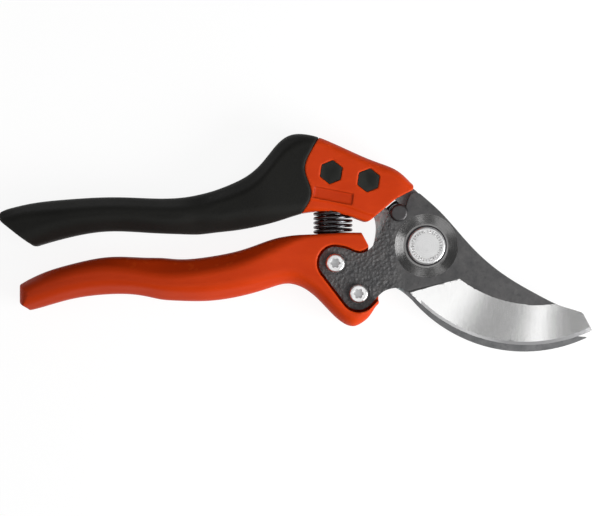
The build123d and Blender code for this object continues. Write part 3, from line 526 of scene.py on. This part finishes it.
DISH_R = 11.9 * MM
EDGE_CENTRE = Vector((37.8, 21.2)) * MM  # of the cutting edge's arc
EDGE_R = 58.5 * MM
EDGE_BEVEL_W = 1.3 * MM
EDGE_SLACK = 0.3 * MM  # a place this far inside the narrow bevel still counts as the cutting edge
HEEL_X = -3.6 * MM  # the cutting edge starts here
POINT_FROM_X = 48 * MM  # past here, towards the point, the blade's edges stay sharp and have no rim of painted shade
BEVEL_TILT = (5.0, 20.0)  # degrees off the horizontal that a face of the ground bevel may lean
ROUNDING_TILT = (15.0, 75.0)  # the same for the small rounding along an edge
EDGE_TILT = 35.0  # a face of the honed edge leans less than this
DISH_TILT = 60.0  # and a face of the dish less than this
BELOW_TOP = 0.02 * MM  # a cut face's middle is at least this far below the blade's top
DISH_SLACK = 0.1 * MM
top_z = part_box("blade")[1].z


def tilt_of(face):
    """Degrees that a face leans off the horizontal."""
    return math.degrees(math.acos(max(-1.0, min(1.0, face.normal.z))))


def cutting_edge(middle):
    """Whether a place lies along the narrow bevel of the cutting edge."""
    reach = (middle.xy - EDGE_CENTRE).length
    on_arc = reach > EDGE_R - EDGE_BEVEL_W - EDGE_SLACK
    return on_arc and middle.y < EDGE_CENTRE.y and middle.x > HEEL_X


def ground_thin(middle):
    """Whether a place is where grinding leaves the edges sharp."""
    return cutting_edge(middle) or middle.x > POINT_FROM_X


BLADE_FINISHES = [OXIDE, GROUND, DISH, EDGE, PAINTED_SHADE_RIM]
blade = eased("blade", "blade_plate", 0.22 * MM, skip=ground_thin, squares=SQUARE)
stand_in(blade, "blade", "forged_steel", *BLADE_FINISHES)
for face in blade.data.polygons:
    tilt = tilt_of(face)
    below = face.center.z < top_z - BELOW_TOP
    finish = OXIDE
    if face.center.xy.length < DISH_R + DISH_SLACK and below and tilt < DISH_TILT:
        finish = DISH
    elif below and BEVEL_TILT[0] < tilt < BEVEL_TILT[1]:
        finish = GROUND
    elif below and tilt < EDGE_TILT and cutting_edge(face.center):
        finish = EDGE
    # painted shade on the roundings along the blade's edges
    elif ROUNDING_TILT[0] < tilt < ROUNDING_TILT[1] and face.center.x < POINT_FROM_X:
        finish = PAINTED_SHADE_RIM
    face.material_index = BLADE_FINISHES.index(finish)

COUNTER_FINISHES = [COUNTER, PAINTED_SHADE_RIM]
counter = eased("counter_blade", "counter_blade_plate", 0.3 * MM, squares=SQUARE)
stand_in(counter, "counter_blade", "forged_steel", *COUNTER_FINISHES)
for face in counter.data.polygons:
    # painted shade on the roundings along the counter-blade's edges
    rim = ROUNDING_TILT[0] < tilt_of(face) < ROUNDING_TILT[1]
    face.material_index = COUNTER_FINISHES.index(PAINTED_SHADE_RIM if rim else COUNTER)

# ---------------------------------------------------------------- fasteners, catch and plugs

head = eased("pivot_bolt", "pivot_bolt_turned", 0.12 * MM)
stand_in(head, "pivot_bolt", "bright_steel", HEAD)

SOCKET_FLOOR = 0.4 * MM  # an upward face this far below a screw's top is the floor of its socket
FLOOR_UPWARD = 0.9  # how much of such a face's normal is vertical
SCREW_FINISHES = [BRIGHT, SOCKET]
screws = eased("blade_screws", "blade_screws_lobed", 0.1 * MM)
stand_in(screws, "blade_screws", "bright_steel", *SCREW_FINISHES)
screw_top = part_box("blade_screws")[1].z
for face in screws.data.polygons:
    sunk = face.normal.z > FLOOR_UPWARD and face.center.z < screw_top - SOCKET_FLOOR
    face.material_index = SCREW_FINISHES.index(SOCKET if sunk else BRIGHT)

plugs = eased("hex_plugs", "hex_plugs_moulded", 0.25 * MM)
stand_in(plugs, "hex_plugs", "black_plastic", BLACK_PLASTIC)

pin = eased("catch_pin", "catch_pin_domed", 0.1 * MM)
stand_in(pin, "catch_pin", "black_oxide_steel", PIN)

slider = eased("catch_slider", "catch_slider_thumb", 0.2 * MM)
stand_in(slider, "catch_slider", "black_plastic", BLACK_PLASTIC)

# ---------------------------------------------------------------- spring

WIRE_R = 0.6 * MM
COIL_PITCH = 1.66 * MM
COIL_FIRST = 0.3 * WIRE_R  # height of the wire's centre at an end, where the coil is ground flat
COIL_CLOSED = 2 * WIRE_R * 1.04  # height of the closed turn at each end
STATIONS_PER_TURN, WIRE_SIDES = 40, 14
spring_low, spring_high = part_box("spring")


def coil_point(turn, turns, radius, length):
    """The wire's centre after so many turns: one closed turn at both ends, an even pitch between."""
    middle = length - 2 * (COIL_FIRST + COIL_CLOSED)
    if turn < 1:
        height = COIL_FIRST + COIL_CLOSED * turn
    elif turn < turns - 1:
        height = COIL_FIRST + COIL_CLOSED + middle * (turn - 1) / (turns - 2)
    else:
        height = COIL_FIRST + COIL_CLOSED + middle + COIL_CLOSED * (turn - turns + 1)
    angle = 2 * math.pi * turn
    return Vector((radius * math.cos(angle), height, -radius * math.sin(angle)))


def make_coil():
    """The spring as round wire, with its number of stations along the wire and of sides round it."""
    centre = (spring_low + spring_high) / 2
    radius = (spring_high.x - spring_low.x) / 2 - WIRE_R
    length = spring_high.y - spring_low.y
    turns = 2 + (length - 2 * (COIL_FIRST + COIL_CLOSED)) / COIL_PITCH
    stations, sides = int(turns * STATIONS_PER_TURN), WIRE_SIDES
    base = Vector((centre.x, spring_low.y, centre.z))
    centres = [coil_point(turns * i / stations, turns, radius, length) for i in range(stations + 1)]
    vertices, faces = [], []
    for i, here in enumerate(centres):
        ahead = centres[min(i + 1, stations)] - centres[max(i - 1, 0)]
        along = ahead.normalized()
        out = Vector((here.x, 0, here.z)).normalized()
        side = along.cross(out)
        for k in range(sides):
            a = 2 * math.pi * k / sides
            point = here + WIRE_R * (math.cos(a) * out + math.sin(a) * side)
            point.y = min(max(point.y, 0.0), length)
            vertices.append(base + point)
    for i in range(stations):
        for k in range(sides):
            a, b = i * sides + k, i * sides + (k + 1) % sides
            faces.append((a, b, b + sides, a + sides))
    faces.append(tuple(reversed(range(sides))))
    faces.append(tuple(range(stations * sides, (stations + 1) * sides)))
    mesh = bpy.data.meshes.new("spring_coil")
    mesh.from_pydata(vertices, [], faces)
    mesh.polygons.foreach_set("use_smooth", [True] * len(faces))
    return link(bpy.data.objects.new("spring_coil", mesh)), stations, sides


coil, stations, sides = make_coil()
coil.data.materials.append(SPRING)
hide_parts("spring")
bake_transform(coil)

# ---------------------------------------------------------------- floor, light and camera


MIDDLE_Z = 0.012  # height that the camera and the lights are aimed at
FLOOR_HALF = 3.0
FLOOR_GLOW = 0.92  # the floor is mostly lit from inside, like a light table
FLOOR_GREY = 0.14
WORLD_STRENGTH = 0.19


def floor():
    """A pale paper floor that takes a faint shadow."""
    mesh = bpy.data.meshes.new("floor")
    corners = [(x * FLOOR_HALF, y * FLOOR_HALF, 0) for x, y in ((-1, -1), (1, -1), (1, 1), (-1, 1))]
    mesh.from_pydata(corners, [], [(0, 1, 2, 3)])
    obj = link(bpy.data.objects.new("floor", mesh))
    f = Finish("floor_paper")
    tone = f.mix(f.noise(3, 3.0), rgb(250, 250, 250), rgb(253, 253, 253))
    glow = f.add("ShaderNodeEmission", {"Color": tone, "Strength": FLOOR_GLOW}).outputs[0]
    grey = (FLOOR_GREY, FLOOR_GREY, FLOOR_GREY, 1.0)
    paper = f.add("ShaderNodeBsdfDiffuse", {"Color": grey}).outputs[0]
    both = f.add("ShaderNodeAddShader", {0: glow, 1: paper}).outputs[0]
    f.tree.links.new(both, f.add("ShaderNodeOutputMaterial").inputs["Surface"])
    mesh.materials.append(f.material)


floor()


def softbox(name, azimuth, tilt, size, radiance, distance=1.2, aim=(0.02, -0.01, MIDDLE_Z)):
    """A rectangular light of that brightness, tilt degrees off the vertical, aimed at the shears."""
    light = bpy.data.lights.new(name, "AREA")
    light.shape = "RECTANGLE"
    light.size, light.size_y = size
    light.energy = radiance * math.pi * size[0] * size[1]
    obj = link(bpy.data.objects.new(name, light))
    a, t = math.radians(azimuth), math.radians(tilt)
    away = Vector((math.sin(t) * math.cos(a), math.sin(t) * math.sin(a), math.cos(t)))
    obj.location = Vector(aim) + away * distance
    obj.rotation_euler = away.to_track_quat("Z", "Y").to_euler()


softbox("overhead", 330, 5, (0.5, 0.5), 1.08)
softbox("heel", 232, 24, (0.4, 0.34), 1.12)
softbox("middle", 276, 27, (0.5, 0.4), 0.16)
softbox("band", 289, 27, (0.05, 0.5), 2.1)
softbox("dish_right", 0, 27, (0.34, 0.2), 3.4)
softbox("dish_upper_right", 70, 27, (0.1, 0.3), 1.8)
softbox("dish_upper_left", 112, 27, (0.1, 0.3), 1.8)
softbox("left", 180, 42, (0.2, 0.6), 2.4)
softbox("key", 330, 55, (0.3, 0.22), 12.5, 0.38, (0.06, -0.02, MIDDLE_Z))

world = bpy.data.worlds.new("studio")
world.use_nodes = True
bpy.context.scene.world = world
background = world.node_tree.nodes["Background"]
background.inputs["Color"].default_value = (1, 1, 1, 1)
background.inputs["Strength"].default_value = WORLD_STRENGTH

LENS = 120.0
SENSOR = 36.0
FRAME_WIDTH = 0.225  # what the picture takes in at that height
VIEW_X, VIEW_Y = -0.0473, -0.0046  # the picture's middle
camera_data = bpy.data.cameras.new("camera")
camera_data.lens = LENS
camera_data.sensor_width = SENSOR
camera = link(bpy.data.objects.new("camera", camera_data))
camera.location = (VIEW_X, VIEW_Y, MIDDLE_Z + FRAME_WIDTH * LENS / SENSOR)
bpy.context.scene.camera = camera
bpy.context.scene.view_settings.view_transform = "Standard"
